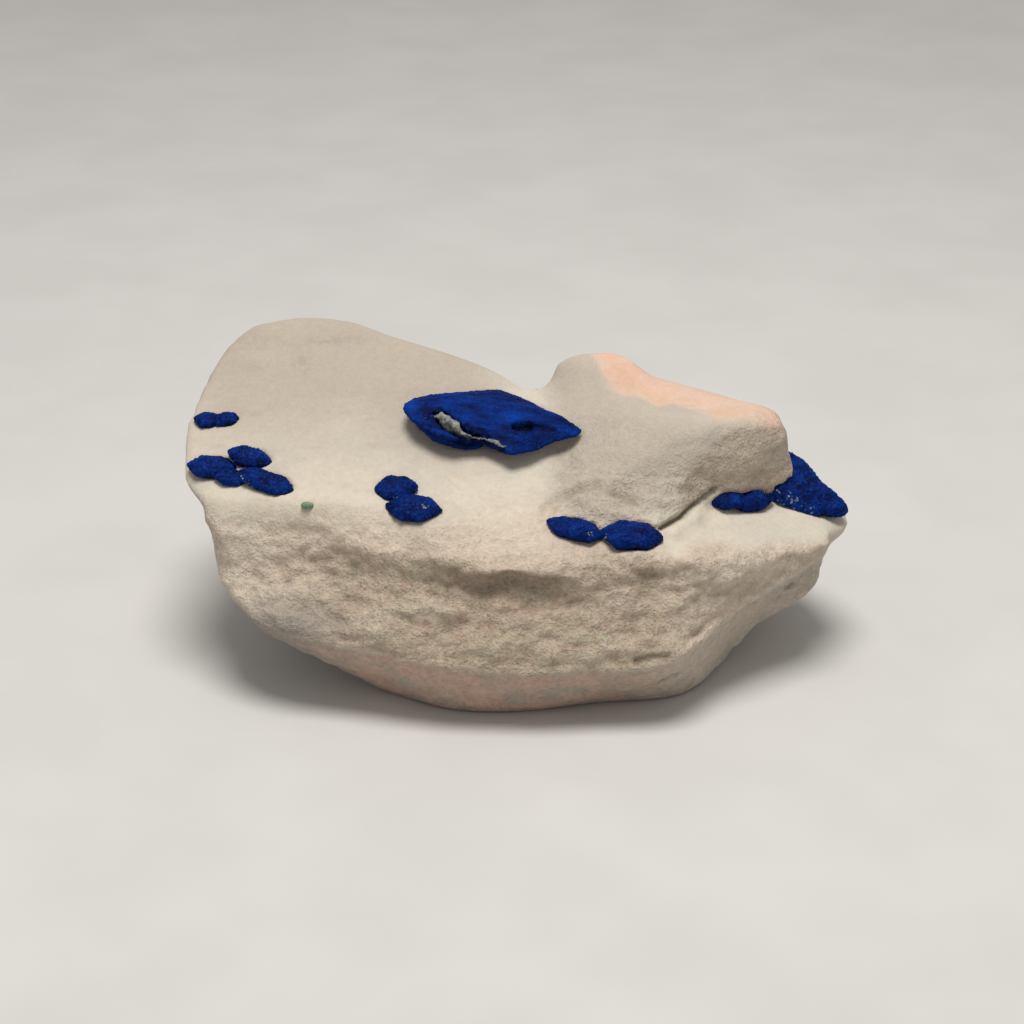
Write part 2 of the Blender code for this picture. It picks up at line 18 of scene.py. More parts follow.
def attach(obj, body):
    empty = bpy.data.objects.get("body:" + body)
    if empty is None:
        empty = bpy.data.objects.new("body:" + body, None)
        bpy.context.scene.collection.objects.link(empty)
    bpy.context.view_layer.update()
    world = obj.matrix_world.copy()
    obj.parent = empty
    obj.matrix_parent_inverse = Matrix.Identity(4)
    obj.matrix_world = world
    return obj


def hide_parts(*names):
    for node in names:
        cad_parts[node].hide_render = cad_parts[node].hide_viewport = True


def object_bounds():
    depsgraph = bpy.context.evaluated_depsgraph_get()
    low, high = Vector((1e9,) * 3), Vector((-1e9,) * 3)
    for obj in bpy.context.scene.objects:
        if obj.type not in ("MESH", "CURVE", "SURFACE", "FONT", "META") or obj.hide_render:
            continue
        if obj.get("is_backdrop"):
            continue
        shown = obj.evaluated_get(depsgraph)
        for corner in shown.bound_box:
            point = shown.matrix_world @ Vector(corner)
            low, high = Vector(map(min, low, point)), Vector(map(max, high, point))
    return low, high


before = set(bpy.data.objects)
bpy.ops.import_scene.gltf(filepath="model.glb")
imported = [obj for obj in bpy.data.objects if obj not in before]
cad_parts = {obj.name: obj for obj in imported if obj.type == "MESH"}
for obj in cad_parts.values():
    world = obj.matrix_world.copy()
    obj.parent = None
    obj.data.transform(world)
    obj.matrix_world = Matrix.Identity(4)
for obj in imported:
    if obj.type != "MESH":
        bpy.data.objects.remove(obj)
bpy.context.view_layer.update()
print("solids:", ", ".join(sorted(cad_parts)))

# %% [markdown]
# ## Setting out
# Sizes are easiest to read in millimetres, so the script thinks in millimetres and turns them to
# metres only where a mesh is written. The block was set out from a point a little off the frame's
# own origin, and `SET_OUT` is that point. `fade` is the smooth step that every soft border uses.

# %% Millimetres, and a soft border
MM = 0.001
SET_OUT = np.array([0.025, -0.98, -0.8])


def fade(value, low, high):
    """0 below low, 1 above high, and an S-curve between; low may be the larger."""
    share = np.clip((value - low) / (high - low), 0.0, 1.0)
    return share * share * (3 - 2 * share)


def points_of(mesh):
    """The vertices as rows of millimetres from the set-out point."""
    flat = np.empty(len(mesh.vertices) * 3, np.float32)
    mesh.vertices.foreach_get("co", flat)
    return flat.reshape(-1, 3).astype(float) / MM - SET_OUT


def put_points(mesh, points):
    """Writes rows of millimetres back to the vertices."""
    mesh.vertices.foreach_set("co", ((points + SET_OUT) * MM).astype(np.float32).ravel())
    mesh.update()


def normals_of(mesh):
    """The direction out of the surface at each vertex."""
    flat = np.empty(len(mesh.vertices) * 3, np.float32)
    mesh.vertex_normals.foreach_get("vector", flat)
    return flat.reshape(-1, 3).astype(float)


# %% [markdown]
# ## Lumps and grains
# Natural relief is many sizes of lump at once. `lumps` gives smooth noise, where `size` is about
# the width of one lump. `grains` gives the distance to the nearest of many scattered seeds, which
# looks like packed grains or crystal ends: it is 0 in the middle of a grain and rises to its edge.
# Both could be shader textures, but noise worked out on the vertices moves the mesh itself, so
# the outline and the shadows change too.

# %% Noise on the vertices
SEED_STEP = 1.37


def places_to_work(points, where):
    """Every row, or only those where a zone is present, to save time."""
    return range(len(points)) if where is None else np.flatnonzero(where > 0.01)


def lumps(points, size, seed, where=None):
    """Smooth noise from about -1 to 1. size is a number, or one for each axis."""
    scaled = points / np.array(size) + seed * SEED_STEP
    made = np.zeros(len(points))
    for i in places_to_work(points, where):
        made[i] = noise.noise(Vector(scaled[i]))
    return made


def grains(points, size, seed, where=None):
    """From 0 in the middle of a grain to about 1 between grains."""
    scaled = points / np.array(size) + seed * SEED_STEP
    made = np.zeros(len(points))
    for i in places_to_work(points, where):
        made[i] = noise.voronoi(Vector(scaled[i]))[0][0]
    return made


# %% [markdown]
# ## Distances
# Cracks, seams and stains follow lines. The distance from a vertex to a line of points tells how
# deep inside such a feature it is, and `fade` turns that distance into a soft-edged mask.

# %% Distance to a line
def from_line(points, line):
    """The distance of each point to a line through several corners."""
    corners = np.array(line, float)
    nearest = np.full(len(points), 1e9)
    for start, end in zip(corners, corners[1:]):
        way = end - start
        share = np.clip((points - start) @ way / (way @ way), 0, 1)
        gap = np.linalg.norm(points - start - share[:, None] * way, axis=1)
        nearest = np.minimum(nearest, gap)
    return nearest


def dome(points, centre, radii):
    """1 at the centre of a soft bump, falling to 0 around it like a bell."""
    reach = (points - np.array(centre)) / np.array(radii)
    return np.exp(-(reach * reach).sum(axis=1))


# %% [markdown]
# ## From a solid to a dense skin
# A solid has flat facets a few millimetres wide. A voxel remesh lays an even grid of small quads
# over it, and a Smooth modifier then wears the facets away. Sculpting would do the same by hand;
# modifiers are quicker and come out the same on every run. Where a solid is very thin, the remesh
# can cut a crumb off it, so only the largest part of each copy is kept.

# %% A dense copy of a solid
WELD = 0.001
SMOOTH_SHARE = 0.5


def dense_copy(node, name, voxel, turns):
    """A new object like the solid, with quads of voxel millimetres, smoothed turns times."""
    bm = bmesh.new()
    bm.from_mesh(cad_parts[node].data)
    bmesh.ops.remove_doubles(bm, verts=bm.verts, dist=WELD * MM)
    mesh = bpy.data.meshes.new(name)
    bm.to_mesh(mesh)
    bm.free()
    piece = bpy.data.objects.new(name, mesh)
    bpy.context.scene.collection.objects.link(piece)
    remesh = piece.modifiers.new("remesh", "REMESH")
    remesh.mode = "VOXEL"
    remesh.voxel_size = voxel * MM
    smooth = piece.modifiers.new("smooth", "SMOOTH")
    smooth.iterations = turns
    smooth.factor = SMOOTH_SHARE
    bake_modifiers(piece)
    keep_largest(piece.data)
    return piece


def bake_modifiers(piece):
    """Turns what the modifiers make into the piece's own mesh."""
    graph = bpy.context.evaluated_depsgraph_get()
    mesh = bpy.data.meshes.new_from_object(piece.evaluated_get(graph))
    piece.modifiers.clear()
    piece.data = mesh
    mesh.polygons.foreach_set("use_smooth", [True] * len(mesh.polygons))
    mesh.name = piece.name


def keep_largest(mesh):
    """Drops any crumb that the remesh has cut off from the rest."""
    bm = bmesh.new()
    bm.from_mesh(mesh)
    unseen = set(bm.verts)
    largest, crumbs = [], []
    while unseen:
        island = [unseen.pop()]
        for vert in island:
            for edge in vert.link_edges:
                other = edge.other_vert(vert)
                if other in unseen:
                    unseen.remove(other)
                    island.append(other)
        smaller = min(island, largest, key=len)
        largest = max(island, largest, key=len)
        crumbs += smaller
    bmesh.ops.delete(bm, geom=crumbs, context="VERTS")
    bm.to_mesh(mesh)
    bm.free()


def paint(mesh, **masks):
    """Writes each mask, one number a vertex, where a material can read it by name."""
    for name, values in masks.items():
        layer = mesh.attributes.new(name, "FLOAT", "POINT")
        layer.data.foreach_set("value", values.astype(np.float32))


def stand_for(piece, node):
    """The piece is shown in place of the solid and moves with the block."""
    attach(piece, "root")
    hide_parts(node)
    report(piece)


def report(piece):
    """Prints how many triangles the piece has."""
    faces = sum(len(face.vertices) - 2 for face in piece.data.polygons)
    print(f"{piece.name}: {faces} triangles")


# %% [markdown]
# ## Wearing a surface smooth
# Moving each vertex to the mean of its neighbours, many times over, melts the facets that are
# left. A share for each vertex keeps the melting to the worn faces. Facets stand out by only a few
# tenths of a millimetre, so each vertex is held to about that much and true corners stay.

# %% Melt part of a surface
def melt(mesh, start, share, turns, most):
    """Each vertex moves towards the mean of its neighbours by its own share, at most about most."""
    points = start
    ends = np.empty(len(mesh.edges) * 2, np.int32)
    mesh.edges.foreach_get("vertices", ends)
    first, second = ends.reshape(-1, 2).T
    count = np.bincount(ends, minlength=len(points))[:, None]
    for _ in range(turns):
        sums = []
        for axis in range(3):
            seconds = np.bincount(first, points[second, axis], len(points))
            firsts = np.bincount(second, points[first, axis], len(points))
            sums.append(seconds + firsts)
        points = points + (np.column_stack(sums) / count - points) * share[:, None]
    way = points - start
    return start + way / (1 + np.linalg.norm(way, axis=1, keepdims=True) / most)


# %% [markdown]
# ## Where the claystone is rough and where it is worn
# The block broke along its front, so the face between the lip and the bottom rim is rough and
# sandy, and so is the foot of the upper bed. The top of the left hill and the ledge on the right
# are old, worn faces, smooth to the touch. The back broke bed by bed. These zones could be painted
# by hand; here short rules on place do it, so they stay with the shape.
#
# Each table has two rows. `LIP` and `RIM` give the height of the front face's two edges at each x
# along the block, `CREST` is the y of its top, `WORN_OVER_LIP` is how far the sandy edge reaches up
# past the lip, `FOOT` is the height of the upper bed's foot, and `CORNER` is the x, at each height,
# where the upper bed turns away from the light. `BROWN_ALONG` and `SAND_ALONG` say how strong the
# colours of the broken front are along it.

# %% Edges and strengths of the zones
LIP = (
    (-73, -64, -47, -32, -16, 0, 20, 39, 52, 66, 71),
    (41, 36.5, 36, 37, 37.5, 36, 37, 36, 33, 31, 30.5),
)
RIM = (
    (-68, -63, -51, -38, -25, -14, 5, 20, 32, 42, 50, 59, 65, 69),
    (29, 24, 20, 18, 17, 15, 14.5, 15, 16, 19, 22, 25, 27, 25),
)
CREST = ((-73, -67, -60, -48, -39, -31, -14, 6, 10, 66), (6, 26, 29, 29.5, 26.5, 22.5, 18, 14, 22, 22))
WORN_OVER_LIP = ((-70, -40, 20, 29, 33), (6, 8.5, 8, 5, 1.2))
FOOT = ((24, 31, 38.6, 43.6, 46, 52), (38.5, 40.3, 41.3, 43.0, 40.5, 37.5))
CORNER = ((41, 43, 46.6, 48.8, 51.7, 53.7, 57), (34, 37, 36.3, 37.4, 41, 44, 45))
BROWN_ALONG = ((-62, -48, -28, 24, 36, 44), (0, 0.25, 1, 1, 0.4, 0.05))
SAND_ALONG = ((-62, -40), (0.55, 1))
WOBBLE_ALONG = ((24, 34), (2.0, 0.4))
CORNER_BLUR = 1.5
FACE_ROUGH = 0.6
FLANK_ROUGH = 0.3


# %% The zones of the block
def front_zone(points, wobble):
    """The broken front, between the lip and the bottom rim."""
    x, y, z = points.T
    lip, rim, reach = np.interp(x, *LIP), np.interp(x, *RIM), np.interp(x, *WORN_OVER_LIP)
    faces_front = fade(-y, 6, 22)
    below_lip = fade(z + wobble, lip + reach * 1.3, lip - reach * 0.1)
    above_rim = fade(z, rim - 0.5, rim + 1.2)
    return faces_front * below_lip * above_rim


def upper_bed_zones(points, wobble):
    """The foot of the upper bed, its shaded right face and its flank."""
    x, y, z = points.T
    low = np.interp(x, *FOOT)
    along_foot = fade(x, 3, 13) * fade(x, 47, 43)
    up_foot = fade(z, low, low + 1.6) * fade(z + wobble * 1.5, 53, 45)
    foot = along_foot * up_foot * fade(-y, 4, 9)
    past_corner = fade(x - np.interp(z, *CORNER) + wobble * 0.6, -CORNER_BLUR, CORNER_BLUR)
    up_face = fade(z, low, low + 1.5) * fade(z, 57, 54)
    face = past_corner * up_face * fade(-y, -4, 2) * FACE_ROUGH
    along_flank = fade(x, 4, 14) * fade(x, 46, 41)
    up_flank = fade(z, 44, 50) * fade(z, 58, 55)
    flank = along_flank * up_flank * fade(-y, -2, 6) * FLANK_ROUGH
    return foot, face, flank


def under_zone(points):
    """The bevel under the rim. Its edge wanders where the block turns to its ends and back."""
    x, y, z = points.T
    behind = fade(y, -24, 4)
    edge = np.interp(x, *RIM) + lumps(points, 15, 41) * 9 * behind
    return fade(z, edge + 0.6 + behind * 3, edge - 0.8 - behind * 3)


def zones(points):
    """The share of each zone, from 0 to 1, at each point."""
    x, y, z = points.T
    lip = np.interp(x, *LIP)
    wobble = lumps(points, 9, 40) * np.interp(x, *WOBBLE_ALONG)
    front = front_zone(points, wobble)
    foot, face, flank = upper_bed_zones(points, wobble)
    back = fade(y - np.interp(x, *CREST), 6, 16)
    under = under_zone(points) * (1 - back)
    brown = front * fade(z, lip + 1.0, lip - 2.5) * np.interp(x, *BROWN_ALONG)
    sandy = np.maximum.reduce([front, face * 1.2, under * 0.6]) * np.interp(x, *SAND_ALONG)
    return {
        "rough": np.maximum.reduce([front, foot, face, flank]) * (1 - back),
        # The upper bed's face that turns away from the light is painted browner too: partly its own broken
        # colour, partly painted shade.
        "brown": np.maximum(brown, face * 1.4) * (1 - back),
        "back": back,
        "under": under,
        "sandy": sandy * (1 - back),
    }


# %% [markdown]
# ## The claystone block
# The dense copy is melted where it is worn. It is left alone near the flat base, so the block still
# stands flat, and near the azurite, so its sockets stay true: `clear` is 0 there and 1 elsewhere.

# %% Copy the block and melt its worn faces
BLOCK_VOXEL = 0.72
BLOCK_SMOOTHING = 5
MELT_SHARE = 0.5
MELT_TURNS = 30
MELT_MOST = 0.7
block = dense_copy("claystone", "pale_claystone", BLOCK_VOXEL, BLOCK_SMOOTHING)


def tree_of(names):
    """One search tree over several solids, for distances."""
    corners, faces = [], []
    for name in names:
        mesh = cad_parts[name].data
        faces += [[len(corners) + k for k in face.vertices] for face in mesh.polygons]
        corners += [vert.co / MM for vert in mesh.vertices]
    return BVHTree.FromPolygons(corners, faces)


def distance(points, tree, most=12.0):
    """From each point to the nearest place in the tree, in millimetres, and no more than most."""
    made = np.full(len(points), most)
    for i, place in enumerate(points + SET_OUT):
        found = tree.find_nearest(Vector(place), most)
        if found[0] is not None:
            made[i] = found[3]
    return made


suns_tree = tree_of([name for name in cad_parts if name.startswith("azurite")])
block_points = points_of(block.data)
block_zone = zones(block_points)
near_suns = distance(block_points, suns_tree)
clear = fade(near_suns, 0.6, 3.0) * fade(block_points[:, 2] + SET_OUT[2], 0.3, 3.0)
worn = (1 - block_zone["rough"]) * (1 - block_zone["back"] * 0.7)
block_points = melt(block.data, block_points, worn * clear * MELT_SHARE, MELT_TURNS, MELT_MOST)
put_points(block.data, block_points)
report(block)

# %% [markdown]
# ## The block's relief
# The relief is raised along the normals: gentle swells where the clay is worn, flat-lying lumps and
# crumbs where it is rough, steps from bed to bed at the back, and a low ridge where the front
# meets the bevel. `FORMS` are the few larger swells and hollows, each with its middle, its radii
# and its rise. `CRACK` is the dark gap under the upper bed, `FOOT_STEP` is a curved step at its
# foot, and `SCARS` are short dents near the rim. A height map would need an unwrapped mesh; noise
# in the stone's own space does not.

# %% Lines, forms and sizes of the relief
CRACK = [
    (30.9, -29.4, 40.6), (33.2, -26.6, 40.6), (35.7, -23.9, 40.7),
    (38.6, -19.3, 41.0), (41.4, -16.5, 41.9), (43.6, -15.5, 42.8),
]
CRACK_DEPTH = 1.7
FOOT_STEP = [
    (5.8, -27.5, 41.5), (6.7, -23.1, 42.9), (9.1, -21.1, 43.9), (12.4, -20.2, 45.2), (15.2, -19.1, 46.3),
    (18.2, -21.4, 46.5), (21.6, -22.1, 45.4), (25.2, -24.3, 44.3),
]
STEP_DEPTH = 0.8
# How strong the painted shade along the foot step is.
STEP_BROWN = 0.45
SCARS = [
    [(30.4, -40.6, 8.4), (32.3, -41.1, 10.0), (34.3, -40.0, 10.5)],
    [(25.3, -46.4, 17.2), (28.5, -45.7, 17.8), (31.9, -45.2, 17.8)],
    [(59.2, -23.0, 22.6), (60.4, -22.3, 23.1)],
]
SCAR_DEPTH = 0.6
FORMS = [
    ((-6, -40, 32.5), (17, 9, 3.4), -1.5),
    ((-30, -41, 24.0), (20, 9, 4.5), 0.7),
    ((-21, -40, 27.0), (7, 9, 2.2), 0.8),
    ((-14, -42, 24.5), (6, 9, 2.0), -0.6),
    ((-42, -36, 31.0), (8, 9, 3.0), -0.6),
    ((22.5, -39, 31.5), (2.6, 9, 6.0), 0.9),
    ((27.5, -38, 33.0), (2.4, 9, 5.0), -0.7),
    ((8, -41, 24.0), (16, 9, 3.5), 0.6),
    ((34, -39, 27.0), (7, 9, 3.0), 0.5),
    ((46, -31, 30.0), (14, 9, 3.6), 2.0),
    ((33, -28.5, 38.8), (3, 3, 1.2), 1.0),
    ((38, -21.5, 38.8), (3.5, 3, 1.2), 1.1),
    ((5, 22, 53), (9, 10, 6), -2.5),
    ((-71, -14, 38.5), (5, 9, 4), -1.1),
]
RIDGE_ALONG = ((-30, -10, 26, 40, 58, 66), (0, 0.5, 0.6, 0.9, 0.6, 0))
RIDGE_OVER_RIM = 0.6
RIDGE_WIDTH = 0.9
BED_THICKNESS = 6.5
BED_STEP = 1.4
ENDS_BROKEN = 0.3


# %% The kinds of relief
def front_crumbs(points, rough):
    """Lumps and crumbs of the broken front, lower towards its left end."""
    crumbs = lumps(points, (11, 11, 4.5), 3, rough) * 0.8 + lumps(points, (5, 5, 2.4), 4, rough) * 0.6
    crumbs += lumps(points, (2.8, 2.8, 1.7), 5, rough) * 0.55 - grains(points, 2.1, 6, rough) * 0.25 + 0.12
    return crumbs * (fade(points[:, 0], -72, -58) * 0.7 + 0.3)


def broken_beds(points, where):
    """Steps from bed to bed that come and go, with lumps of three sizes on them."""
    beds = points[:, 2] / BED_THICKNESS + lumps(points, (26, 26, 14), 7, where) * 1.6
    comes_and_goes = fade(lumps(points, (18, 18, 7), 42, where), -0.35, 0.25)
    broken = (fade(np.sin(beds * 2 * math.pi), -0.7, 0.5) - 0.5) * BED_STEP * comes_and_goes
    broken += lumps(points, (8, 8, 4), 43, where) * 0.9 + lumps(points, (4, 4, 2.4), 8, where) * 0.6
    return broken + lumps(points, 2.0, 9, where) * 0.3


def rim_ridge(points):
    """A low ridge along the rim, where the front meets the bevel."""
    x, y, z = points.T
    over_rim = z - np.interp(x, *RIM) - RIDGE_OVER_RIM
    ridge = np.exp(-(over_rim / RIDGE_WIDTH) ** 2) * fade(-y, 0, 12)
    return ridge * np.interp(x, *RIDGE_ALONG)


def block_relief(points, zone):
    """How far each point rises along its normal, in millimetres."""
    rough, back, under = zone["rough"], zone["back"], zone["under"]
    worn = (1 - rough) * (1 - back)
    swell = lumps(points, 17, 1) * 0.35 + lumps(points, (9, 9, 4), 2) * 0.14
    ends = fade(np.abs(points[:, 0]), 48, 62) * fade(points[:, 1], 2, 12) * (1 - back)
    deep = fade(points[:, 1] - np.interp(points[:, 0], *CREST), 8, 22)
    dents = lumps(points, (6, 6, 3), 15, under) * 0.45 + lumps(points, (2.6, 2.6, 1.6), 16, under) * 0.3
    height = rim_ridge(points) * (1 - back) + swell * worn + dents * under
    height += front_crumbs(points, rough) * rough ** 1.5
    height += broken_beds(points, np.maximum(back, ends)) * (back * deep + ends * ENDS_BROKEN)
    for centre, radii, rise in FORMS:
        height += dome(points, centre, radii) * rise
    return height


# %% Raise the block's relief
crack_gap = from_line(block_points, CRACK) + lumps(block_points, 2.5, 10) * 0.2
scar_gap = np.minimum.reduce([from_line(block_points, scar) for scar in SCARS])
scar_gap += lumps(block_points, 1.6, 17) * 0.5
step_gap = from_line(block_points, FOOT_STEP) + lumps(block_points, 3, 18) * 0.9
# Painted shade along the foot step goes into the same mask as the brown of the broken faces.
block_zone["brown"] = np.maximum(block_zone["brown"], fade(step_gap, 2.6, 0.3) * STEP_BROWN)
block_height = block_relief(block_points, block_zone) * clear
block_height -= fade(crack_gap, 0.9, 0.2) * CRACK_DEPTH + fade(scar_gap, 1.2, 0.3) * SCAR_DEPTH
block_height -= fade(step_gap, 2.0, 0.2) * STEP_DEPTH * clear
block_points += normals_of(block.data) * block_height[:, None]
put_points(block.data, block_points)
print("relief from", block_height.min().round(2), "to", block_height.max().round(2), "mm")

# %% [markdown]
# ## Stains, grime and painted shade
# Iron has stained the top of the upper bed a warm pink that turns to tan along its front edge, and
# pinker clay shows again in a band under the front rim. The far ends of that band are grey. The
# upper bed's flank and the top of the left hill are painted a little darker than the slope between
# them: partly grime, partly painted shade, with a painted highlight stripe just before the corner.
# The clay that stands in the split of the large sun is greenish and crumbly. The masks are
# soft-edged regions broken up by noise, so that no border is a clean line.
#
# `PINK_EDGE` is the y where the pink starts, at each x. The tables that end in `ALONG` give a
# stain's strength at each x, and `TONGUE` is the line of clay in the split.

# %% Edges and strengths of the stains
PINK_EDGE = (
    (14, 17, 18.5, 20.6, 27, 31, 36, 40, 43, 49, 53, 60),
    (17, 10, 6.5, 3.2, 0, -5.5, -4.2, -6.5, -9.5, -8.2, -6.7, -6),
)
PINK_ALONG = ((20, 30, 45, 58), (1, 0.85, 0.7, 0.6))
GREY_ALONG = ((-45, -20, 20, 38, 46, 55), (1, 0.7, 0.6, 0.25, 0.3, 0.55))
GREY_PATCH = ((-48, -38, 21.5), (11, 10, 4.5))
TONGUE = [
    (-18.2, -7.5, 57.2), (-15.8, -9.4, 56.6), (-13.3, -10.8, 55.1), (-10.4, -12.0, 54.1), (-8.3, -12.5, 53.9),
]
SMUDGES = [
    ((-49.4, 15.7, 60.3), (2.0, 2.4, 2)),
    ((-47.0, 12.5, 59.2), (1.6, 1.4, 2)),
    ((-43.5, 21, 63), (7, 1.5, 3)),
]


# %% The stains, grime and painted shade of the block
def pink_top(points, wander):
    """The stained top of the upper bed, and the tan along its front edge."""
    x, y, z = points.T
    past_edge = y - np.interp(x, *PINK_EDGE)
    high = fade(z + wander * fade(y, 0, 8), 51.5, 54.5)
    along = fade(x + wander * fade(y, 8, 14) * 2, 16.5, 20)
    top = fade(past_edge + wander, -1.3, 2.6) * high * along * fade(y + wander * 2, 30, 20)
    return top, top * fade(past_edge, 9, 2) * fade(x, 56, 46) * fade(x, 19, 26)


def dusky(points, top):
    """Darker clay on the upper bed's flank and the top of the left hill, partly grime and partly painted
    shade, with a painted highlight stripe just before the corner.
    """
    x, y, z = points.T
    past_corner = x - np.interp(z, *CORNER)
    side = fade(past_corner, -CORNER_BLUR, CORNER_BLUR)
    # A painted highlight stripe just before the corner, where the flank rounds into the light.
    lighter_stripe = np.exp(-((past_corner + 3.5) / 3.0) ** 2) * (1 - side)
    flank = fade(x, 3, 12) * fade(z, 41, 45) * (1 - top)
    flank *= 0.85 - 0.2 * side - 0.35 * lighter_stripe
    hill = fade(z + lumps(points, 14, 14) * 2, 43, 58) * fade(x, 2, -12)
    return np.maximum(hill, flank)


def block_stains(points, zone):
    """The share of each stain, and of the grime and painted shade, from 0 to 1, at each point."""
    x = points[:, 0]
    wander = lumps(points, 5, 11) * 1.8 + lumps(points, 2, 12) * 0.9
    top, tan = pink_top(points, wander)
    belly = zone["under"] * fade(x + wander * 3, -50, -30) * fade(x + wander * 3, 34, 20)
    ends = zone["under"] * (1 - belly) * np.interp(x, *GREY_ALONG)
    return {
        "pink": top * np.interp(x, *PINK_ALONG),
        "tan": tan,
        "belly": belly,
        "ends": np.maximum(ends, dome(points, *GREY_PATCH)),
        "smudge": sum(dome(points, *place) for place in SMUDGES),
        "tongue": fade(from_line(points, TONGUE), 3.0, 2.2) * fade(near_suns, 2.6, 2.0),
        "dusk": dusky(points, top),
    }


# %% Paint the block's masks
block_stain = block_stains(block_points, block_zone)
tongue_crumbs = lumps(block_points, 2.2, 13, block_stain["tongue"]) * 0.7
tongue_crumbs += lumps(block_points, 0.9, 19, block_stain["tongue"]) * 0.7 - 0.1
tongue_crumbs *= block_stain["tongue"]
block_points += normals_of(block.data) * tongue_crumbs[:, None]
put_points(block.data, block_points)
# Painted shade in the hollows of the broken faces, and a painted highlight on the tips of their crumbs.
hollow = fade(block_height, 0.0, -1.2) * block_zone["rough"] ** 2
tip = fade(block_height, 0.3, 1.3) * block_zone["rough"] ** 2
# Painted shade in the crack under the upper bed and in the scars near the rim.
crack = np.maximum(fade(crack_gap, 0.9, 0.3) * 0.75, fade(scar_gap, 1.1, 0.3) * 0.55)
paint(block.data, hollow=hollow, tip=tip, crack=crack, **block_zone, **block_stain)
stand_for(block, "claystone")

# %% [markdown]
# ## Shader sums
# A material is a graph of nodes. Writing one node a line hides the idea, so `Wire` wraps an output
# socket and takes part in sums as a number does: `1 - mask * 0.5` adds its own Math nodes. Every
# other node comes from `Wire.node`, which sets the node up first and then fills its sockets.

# %% One class for wiring
class Wire:
    """An output socket of the material that is being made."""

    tree = None

    def __init__(self, socket):
        self.socket = socket

    @classmethod
    def node(cls, kind, settings=None, sockets=None, output=0):
        """A node of this kind; settings first, then a value or a wire for each socket."""
        made = cls.tree.nodes.new(kind)
        for key, value in (settings or {}).items():
            setattr(made, key, value)
        for key, value in (sockets or {}).items():
            if isinstance(value, Wire):
                cls.tree.links.new(value.socket, made.inputs[key])
            else:
                made.inputs[key].default_value = value
        return cls(made.outputs[output]) if made.outputs else None

    def math(self, operation, first, second):
        """One Math node, for the sums below."""
        return self.node("ShaderNodeMath", {"operation": operation}, {0: first, 1: second})

    def __add__(self, other):
        return self.math("ADD", self, other)

    __radd__ = __add__

    def __sub__(self, other):
        return self.math("SUBTRACT", self, other)

    def __rsub__(self, other):
        return self.math("SUBTRACT", other, self)

    def __mul__(self, other):
        return self.math("MULTIPLY", self, other)

    __rmul__ = __mul__

    def fade(self, low, high):
        """0 below low, 1 above high, and an S-curve between."""
        settings = {"interpolation_type": "SMOOTHSTEP"}
        return self.node("ShaderNodeMapRange", settings, {0: self, 1: low, 2: high, 3: 0.0, 4: 1.0})


# %% [markdown]
# ## Small helpers for finishes
# Each finish below is built from the same few parts: a colour mixed with another by a mask, noise
# of a given width in millimetres, a mask painted on the vertices, and a bump of a given depth.

# %% Helpers for finishes
def mix(share, first, second, way="MIX"):
    """A colour between two, or first worked on by second in another way."""
    settings = {"data_type": "RGBA", "blend_type": way}
    return Wire.node("ShaderNodeMix", settings, {0: share, 6: first, 7: second}, 2)


def speckle(place, size, detail=2.0, rough=0.55):
    """Noise whose lumps are about size millimetres wide, from 0 to 1."""
    sockets = {"Vector": place, "Scale": 1 / size, "Detail": detail, "Roughness": rough}
    return Wire.node("ShaderNodeTexNoise", None, sockets)


def cells(place, size, output=0):
    """Packed grains: the distance from the middle of each, or with output 1 a colour for each."""
    return Wire.node("ShaderNodeTexVoronoi", None, {"Vector": place, "Scale": 1 / size}, output)


def mask(name):
    """A mask that was painted on the vertices, or 0 where the piece has none of that name."""
    return Wire.node("ShaderNodeAttribute", {"attribute_name": name}, None, 2)


def millimetres(stretch=(1, 1, 1)):
    """The place on the object in millimetres, stretched along an axis where asked."""
    place = Wire.node("ShaderNodeTexCoord", None, None, "Object")
    scale = tuple(1000.0 / k for k in stretch)
    return Wire.node("ShaderNodeVectorMath", {"operation": "MULTIPLY"}, {0: place, 1: scale})


def bump(height, depth, below=None):
    """A bump of this depth in millimetres, on top of another one if there is one."""
    sockets = {"Height": height, "Distance": depth * MM, "Strength": 1.0}
    if below:
        sockets["Normal"] = below
    return Wire.node("ShaderNodeBump", None, sockets)


def grey(value):
    """A number as a grey colour."""
    return Wire.node("ShaderNodeCombineColor", None, {0: value, 1: value, 2: value})


def begin(name):
    """A new empty material, which the next wires belong to."""
    material = bpy.data.materials.new(name)
    material.use_nodes = True
    material.node_tree.nodes.clear()
    Wire.tree = material.node_tree
    return material


def finish(**sockets):
    """Ends the material in one Principled shader."""
    named = {key.replace("_", " "): value for key, value in sockets.items()}
    surface = Wire.node("ShaderNodeBsdfPrincipled", None, named)
    Wire.node("ShaderNodeOutputMaterial", None, {"Surface": surface})


# %% [markdown]
# ## Claystone finish
# Dry claystone is matt and never one colour: broad clouds of warmer and greyer clay and a fine salt of
# grains. Where it is broken, painted shade darkens the hollows between the crumbs and a painted
# highlight lightens their tips. An image could be wrapped round the block, but noise in the stone's
# own space has no seams and goes right round it. The colours are laid on in order: the clay itself,
# the broken clay with its rosy and olive tints, the stains with the painted shade and highlight, and
# last the salt and the painted shade of small pits.

# %% The colours of the clay
WARM = (0.635, 0.57, 0.465, 1)
COOL = (0.57, 0.52, 0.44, 1)
SAND = (0.60, 0.462, 0.36, 1)
CRUMB = (0.44, 0.355, 0.265, 1)
ROSY = (0.43, 0.30, 0.235, 1)
OLIVE = (0.42, 0.375, 0.26, 1)
TAN = (0.60, 0.42, 0.28, 1)
